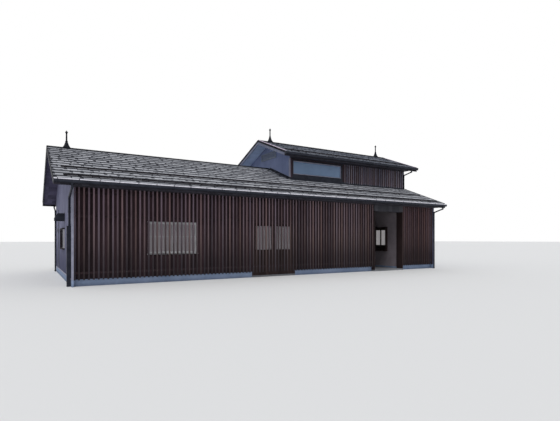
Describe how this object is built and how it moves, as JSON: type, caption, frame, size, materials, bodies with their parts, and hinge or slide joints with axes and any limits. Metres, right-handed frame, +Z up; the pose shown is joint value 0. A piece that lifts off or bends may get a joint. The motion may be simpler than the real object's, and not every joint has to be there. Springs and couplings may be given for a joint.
{
  "type": "small station building",
  "caption": "Long single-storey timber station building with a low gable roof, a raised clerestory, slatted front screens and an open entrance passage.",
  "frame": {"origin": "middle of the bounding box on the ground", "axes": "+X along the building to the right as seen from the front, +Y from the slatted front to the rear, +Z up"},
  "size_m": [18.79, 9.94, 7.5206],
  "materials": {
    "concrete": "cast concrete",
    "floor": "smooth concrete floor",
    "dark_boards": "dark brown stained boards",
    "slats": "weathered brown slats",
    "siding": "light grey siding",
    "plaster": "grey brown plaster",
    "shingles": "grey brown laminated shingles",
    "dark_metal": "dark painted metal",
    "eave_boards": "dark boards",
    "guards": "dark painted steel bars",
    "vents": "brown painted louvres",
    "sash": "plain anodised aluminium",
    "dark_sash": "dark bronze aluminium",
    "frosted": "frosted glass",
    "clear": "clear glass"
  },
  "bodies": {
    "root": {"foundation": "concrete", "side_wall_curb": "concrete", "floor_slab": "floor", "front_wall_left": "dark_boards", "front_wall_middle": "dark_boards", "front_wall_right": "dark_boards", "rear_wall_left": "dark_boards", "rear_wall_right": "dark_boards", "entrance_header": "dark_boards", "entrance_jambs": "dark_boards", "upper_front_wall": "dark_boards", "upper_rear_wall": "dark_boards", "bay_doors": "dark_boards", "screen_left": "slats", "screen_bay": "slats", "screen_middle": "slats", "screen_right": "slats", "screen_upper": "slats", "left_gable_wall": "siding", "right_gable_wall": "siding", "upper_left_gable": "siding", "upper_right_gable": "siding", "side_wall": "plaster", "main_roof_front": "shingles", "main_roof_rear": "shingles", "upper_roof_front": "shingles", "upper_roof_rear": "shingles", "main_ridge_cap": "dark_metal", "upper_ridge_cap": "dark_metal", "ridge_finials": "dark_metal", "main_bargeboards": "dark_metal", "upper_bargeboards": "dark_metal", "main_gutters": "dark_metal", "upper_gutters": "dark_metal", "front_left_downpipe": "dark_metal", "front_right_downpipe": "dark_metal", "rear_downpipes": "dark_metal", "upper_downpipes": "dark_metal", "pipe_cover": "dark_metal", "vent_hood": "dark_metal", "conduit": "dark_metal", "main_eave_boards": "eave_boards", "upper_eave_boards": "eave_boards", "front_snow_guards": "guards", "rear_snow_guards": "guards", "gable_vents": "vents", "front_window_frame": "sash", "rear_window_frames": "sash", "gable_window_frames": "sash", "upper_window_frames": "sash", "side_window_frame": "dark_sash", "front_window_glass": "frosted", "side_window_glass": "frosted", "bay_door_glass": "frosted", "rear_window_glass": "frosted", "gable_window_glass": "clear", "upper_window_glass": "clear"}
  },
  "joints": []
}
